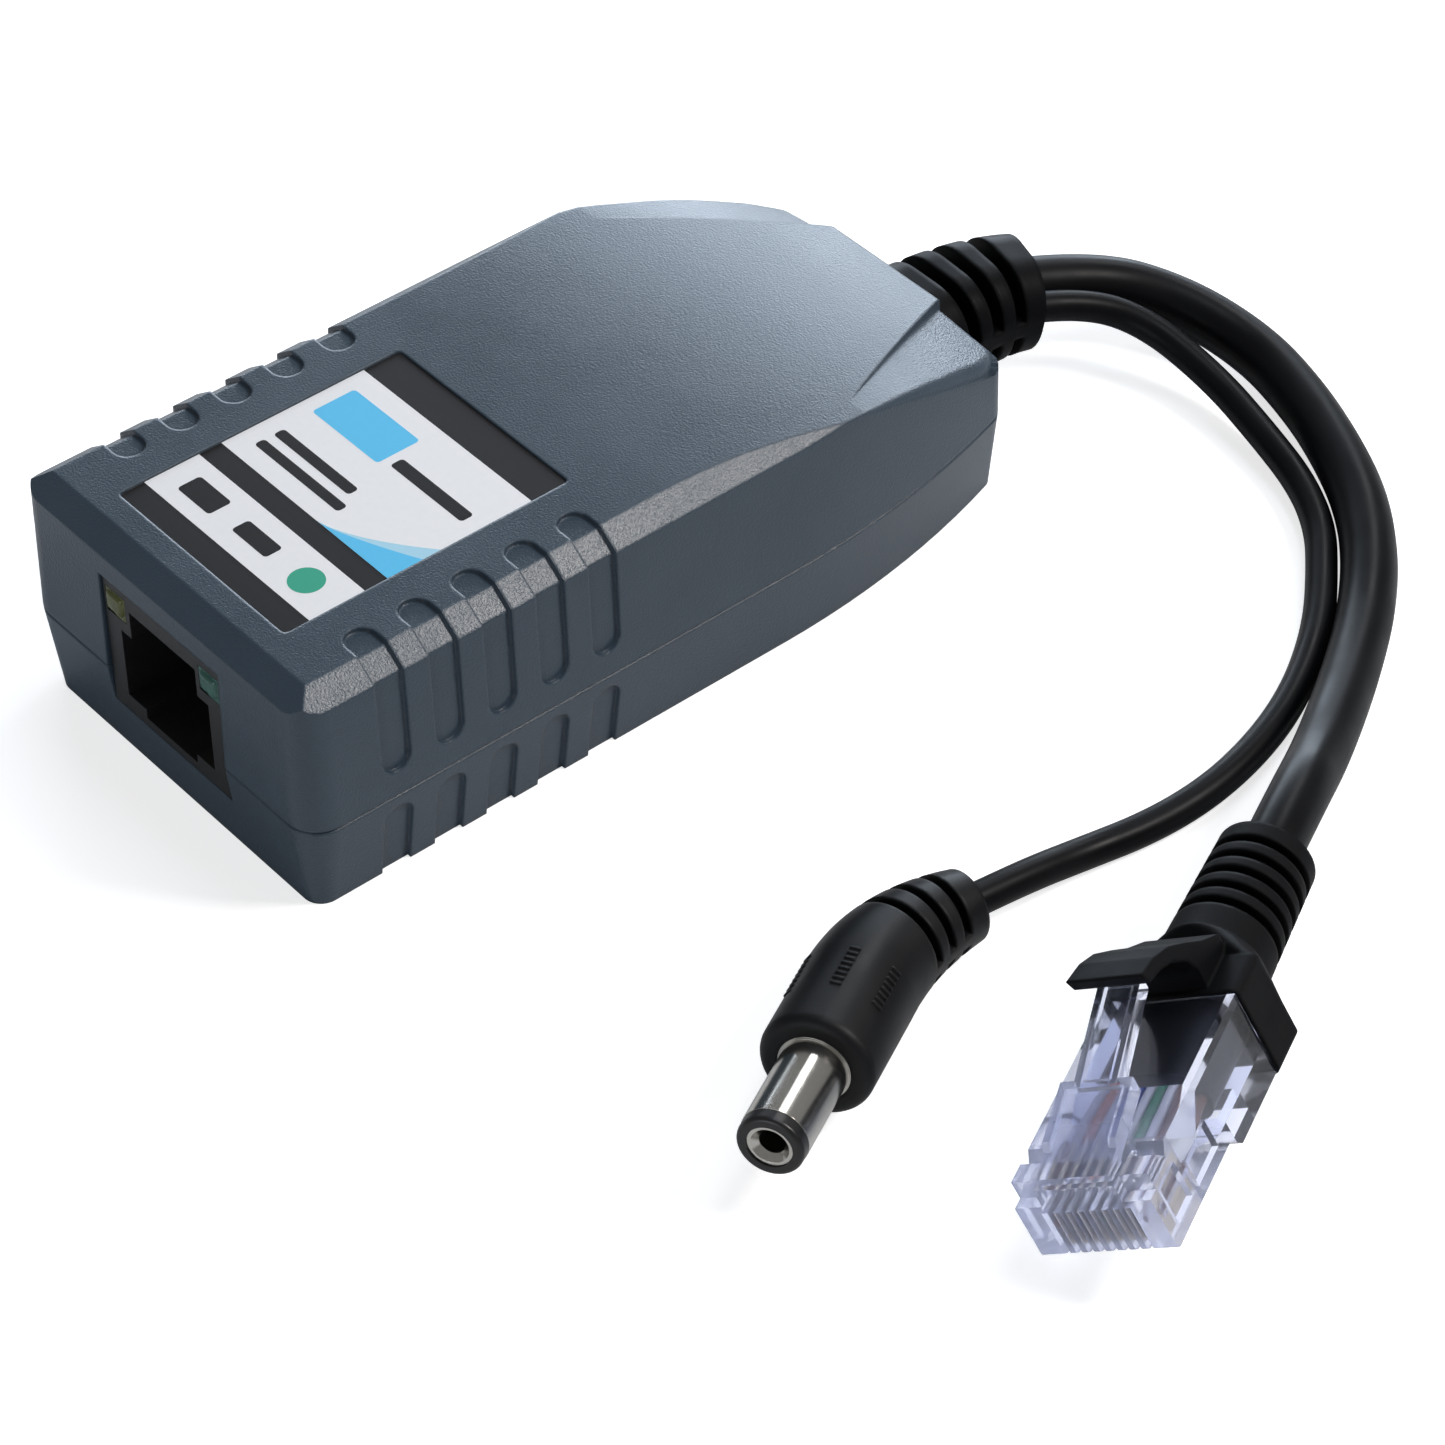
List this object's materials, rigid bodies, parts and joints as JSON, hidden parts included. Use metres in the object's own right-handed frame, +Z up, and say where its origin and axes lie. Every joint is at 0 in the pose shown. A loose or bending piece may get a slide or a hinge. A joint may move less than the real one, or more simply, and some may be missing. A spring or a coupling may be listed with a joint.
{
  "type": "poe splitter",
  "caption": "In-line power-over-data splitter: two-shell textured housing, modular jack in front, and short cords to a clear modular plug and an angled coaxial power plug.",
  "frame": {"origin": "centre of the housing's footprint, on the surface that it stands on", "axes": "+X across the housing's width, +Y from the jack face towards the cords, +Z up through the label"},
  "size_m": [0.1115, 0.1079, 0.0225],
  "materials": {
    "housing_plastic": "fine spark texture, satin",
    "label_film": "satin printed film",
    "jack_plastic": "satin",
    "light_olive": "clear tinted lens",
    "light_teal": "clear tinted lens",
    "contact_gold": "gold flash plating",
    "board_laminate": "solder mask",
    "ferrite": "matte",
    "bobbin_plastic": "satin",
    "copper_winding": "enamelled copper wire",
    "capacitor_sleeve": "shrink sleeve",
    "component_epoxy": "moulded epoxy",
    "lead_insulation": "satin",
    "power_lead_insulation": "satin",
    "black_pvc": "soft satin",
    "plug_nickel": "bright nickel plating",
    "insulator_black": "gloss",
    "clear_polycarbonate": "clear, faint blue",
    "core_white": "satin",
    "core_orange": "satin",
    "core_green": "satin",
    "core_blue": "satin",
    "core_brown": "satin"
  },
  "bodies": {
    "root": {"top_shell": "housing_plastic", "bottom_shell": "housing_plastic", "label": "label_film", "jack_body": "jack_plastic", "led_left": "light_olive", "led_right": "light_teal", "circuit_board": "board_laminate", "data_transformer": "component_epoxy", "transformer_core": "ferrite", "transformer_bobbin": "bobbin_plastic", "transformer_winding": "copper_winding", "input_capacitor": "capacitor_sleeve", "output_capacitor": "capacitor_sleeve", "bridge_rectifiers": "component_epoxy", "controller_chip": "component_epoxy", "optocoupler": "component_epoxy", "output_diode": "component_epoxy", "output_inductor": "ferrite", "data_leads": "lead_insulation", "power_leads": "power_lead_insulation", "cable_gland": "black_pvc", "ethernet_cord": "black_pvc", "power_cord": "black_pvc", "power_plug_overmould": "black_pvc", "power_plug_barrel": "plug_nickel", "power_plug_insulator": "insulator_black", "power_plug_contact": "plug_nickel", "modular_plug_body": "clear_polycarbonate", "modular_plug_boot": "black_pvc", "inner_jacket": "black_pvc", "jack_contact_1": "contact_gold", "modular_contact_1": "contact_gold", "core_wire_1": "core_white", "jack_contact_2": "contact_gold", "modular_contact_2": "contact_gold", "core_wire_2": "core_orange", "jack_contact_3": "contact_gold", "modular_contact_3": "contact_gold", "core_wire_3": "core_white", "jack_contact_4": "contact_gold", "modular_contact_4": "contact_gold", "core_wire_4": "core_blue", "jack_contact_5": "contact_gold", "modular_contact_5": "contact_gold", "core_wire_5": "core_white", "jack_contact_6": "contact_gold", "modular_contact_6": "contact_gold", "core_wire_6": "core_green", "jack_contact_7": "contact_gold", "modular_contact_7": "contact_gold", "core_wire_7": "core_white", "jack_contact_8": "contact_gold", "modular_contact_8": "contact_gold", "core_wire_8": "core_brown"}
  },
  "joints": []
}
